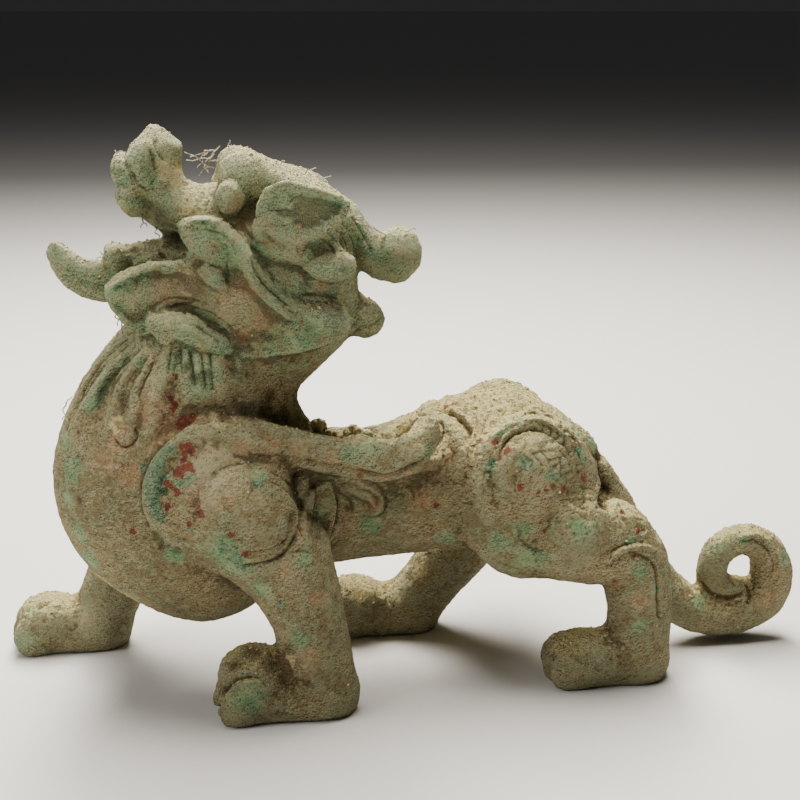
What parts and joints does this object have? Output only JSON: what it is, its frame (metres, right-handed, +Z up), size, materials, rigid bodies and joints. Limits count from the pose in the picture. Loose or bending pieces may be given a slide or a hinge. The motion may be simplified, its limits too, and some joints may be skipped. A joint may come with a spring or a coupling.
{
  "type": "bronze mythical beast figure",
  "caption": "Cast bronze guardian beast, striding with raised head, open mouth, curled tusk, wings along the flanks and a ring-curled tail, with green patina and earth.",
  "frame": {"origin": "on the ground, in the middle of the beast's length and width", "axes": "+Z up, the head faces -X and the tail lies to +X, the beast's left side faces -Y"},
  "size_m": [0.2818, 0.09, 0.1875],
  "materials": {
    "patinated_bronze": "old cast bronze under matt pale green and olive patina, with buff earth crust, teal green patches and small red cuprite spots; hardly any bare metal"
  },
  "bodies": {
    "root": {"bronze_beast": "patinated_bronze"}
  },
  "joints": []
}
